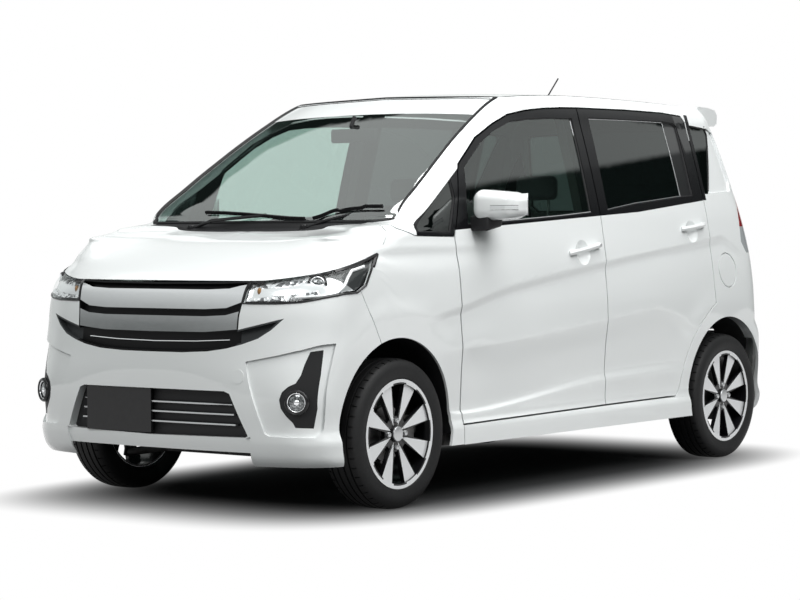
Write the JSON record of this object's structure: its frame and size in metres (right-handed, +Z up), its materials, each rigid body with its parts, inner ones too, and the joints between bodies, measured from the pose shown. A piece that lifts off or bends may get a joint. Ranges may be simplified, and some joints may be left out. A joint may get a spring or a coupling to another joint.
{
  "type": "kei car",
  "caption": "Small tall five-door hatchback car with opening doors, bonnet, tailgate and fuel flap, steered front wheels and rolling wheels.",
  "frame": {"origin": "on the ground below the middle of the car's length and width", "axes": "+X forward, +Y to the car's left, +Z up"},
  "size_m": [3.395, 1.81, 1.7123],
  "materials": {
    "body_paint": "pearl white gloss",
    "body_black": "gloss black",
    "trim_black": "grained black",
    "bright_metal": "bright chrome",
    "lamp_clear": "clear lens",
    "window_glass": "green tint",
    "window_dark": "dark privacy tint",
    "steel_dark": "dark underbody coat",
    "steel_plain": "plain",
    "cast": "cast",
    "wheel_alloy": "machined and dark painted",
    "tyre_rubber": "black rubber",
    "seat_cloth": "dark cloth",
    "dash_plastic": "soft grain"
  },
  "bodies": {
    "body_shell": {"front_fenders": "body_paint", "front_bumper": "body_paint", "grille": "trim_black", "upper_grille_bar": "bright_metal", "lower_grille_bar": "bright_metal", "lower_grille": "trim_black", "front_plate": "body_black", "headlamps": "lamp_clear", "fog_lamps": "trim_black", "windscreen": "window_glass", "cowl": "trim_black", "roof_panel": "body_paint", "tail_lamps": "lamp_clear", "rear_bumper": "body_paint", "side_frames": "body_paint", "rear_quarters": "body_paint", "fixed_side_glass": "window_dark", "wheel_arch_liners": "trim_black", "floor_pan": "steel_dark", "dashboard": "dash_plastic", "front_seats": "seat_cloth", "seat_rails": "steel_dark", "inner_posts": "steel_dark", "rear_bench": "seat_cloth", "engine_block": "cast", "front_suspension": "steel_dark", "rear_axle": "steel_dark", "fuel_tank": "steel_dark", "exhaust": "steel_plain", "antenna": "trim_black"},
    "door_front_left": {"front_door_left": "body_paint", "front_door_glass_left": "window_glass", "mirror_left": "body_paint"},
    "door_front_right": {"front_door_right": "body_paint", "front_door_glass_right": "window_glass", "mirror_right": "body_paint"},
    "door_rear_left": {"rear_door_left": "body_paint", "rear_door_glass_left": "window_dark"},
    "door_rear_right": {"rear_door_right": "body_paint", "rear_door_glass_right": "window_dark"},
    "bonnet_lid": {"bonnet": "body_paint"},
    "tailgate_lid": {"tailgate": "body_paint", "tailgate_glass": "window_dark"},
    "fuel_lid": {"fuel_flap": "body_paint"},
    "steering_control": {"steering_wheel": "dash_plastic"},
    "knuckle_left": {"hub_carrier_left": "steel_plain"},
    "knuckle_right": {"hub_carrier_right": "steel_plain"},
    "wheel_front_left": {"front_rim_left": "wheel_alloy", "front_tyre_left": "tyre_rubber"},
    "wheel_front_right": {"front_rim_right": "wheel_alloy", "front_tyre_right": "tyre_rubber"},
    "wheel_rear_left": {"rear_rim_left": "wheel_alloy", "rear_tyre_left": "tyre_rubber"},
    "wheel_rear_right": {"rear_rim_right": "wheel_alloy", "rear_tyre_right": "tyre_rubber"}
  },
  "joints": [
    {"name": "front_door_left_hinge", "type": "hinge", "parent": "body_shell", "child": "door_front_left", "pos_m": [0.7535, 0.7365, 0.65], "axis": [0, 0, -1], "range_deg": [0, 65]},
    {"name": "front_door_right_hinge", "type": "hinge", "parent": "body_shell", "child": "door_front_right", "pos_m": [0.7535, -0.7365, 0.65], "axis": [0, 0, 1], "range_deg": [0, 65]},
    {"name": "rear_door_left_hinge", "type": "hinge", "parent": "body_shell", "child": "door_rear_left", "pos_m": [-0.286, 0.7365, 0.65], "axis": [0, 0, -1], "range_deg": [0, 70]},
    {"name": "rear_door_right_hinge", "type": "hinge", "parent": "body_shell", "child": "door_rear_right", "pos_m": [-0.286, -0.7365, 0.65], "axis": [0, 0, 1], "range_deg": [0, 70]},
    {"name": "bonnet_hinge", "type": "hinge", "parent": "body_shell", "child": "bonnet_lid", "pos_m": [1.088, 0, 1.058], "axis": [0, -1, 0], "range_deg": [0, 60]},
    {"name": "tailgate_hinge", "type": "hinge", "parent": "body_shell", "child": "tailgate_lid", "pos_m": [-1.3945, 0, 1.599], "axis": [0, 1, 0], "range_deg": [0, 80]},
    {"name": "fuel_flap_hinge", "type": "hinge", "parent": "body_shell", "child": "fuel_lid", "pos_m": [-1.244, 0.7265, 0.848], "axis": [0, 0, -1], "range_deg": [0, 95]},
    {"name": "steering_wheel_turn", "type": "hinge", "parent": "body_shell", "child": "steering_control", "pos_m": [0.47, -0.35, 0.905], "axis": [-0.9063, 0, 0.4226], "range_deg": [-490, 490]},
    {"name": "steer_left", "type": "hinge", "parent": "body_shell", "child": "knuckle_left", "pos_m": [1.1325, 0.655, 0.17], "axis": [0, -0.223, 0.9748], "range_deg": [-35, 35]},
    {"name": "steer_right", "type": "hinge", "parent": "body_shell", "child": "knuckle_right", "pos_m": [1.1325, -0.655, 0.17], "axis": [0, 0.223, 0.9748], "range_deg": [-35, 35]},
    {"name": "wheel_front_left_spin", "type": "hinge", "parent": "knuckle_left", "child": "wheel_front_left", "pos_m": [1.1325, 0.65, 0.281], "axis": [0, 1, 0], "continuous": true},
    {"name": "wheel_front_right_spin", "type": "hinge", "parent": "knuckle_right", "child": "wheel_front_right", "pos_m": [1.1325, -0.65, 0.281], "axis": [0, 1, 0], "continuous": true},
    {"name": "wheel_rear_left_spin", "type": "hinge", "parent": "body_shell", "child": "wheel_rear_left", "pos_m": [-1.2975, 0.645, 0.281], "axis": [0, 1, 0], "continuous": true},
    {"name": "wheel_rear_right_spin", "type": "hinge", "parent": "body_shell", "child": "wheel_rear_right", "pos_m": [-1.2975, -0.645, 0.281], "axis": [0, 1, 0], "continuous": true}
  ],
  "couplings": [
    {"joint": "steer_right", "follows": "steer_left", "ratio": 1},
    {"joint": "steering_wheel_turn", "follows": "steer_left", "ratio": 14}
  ]
}
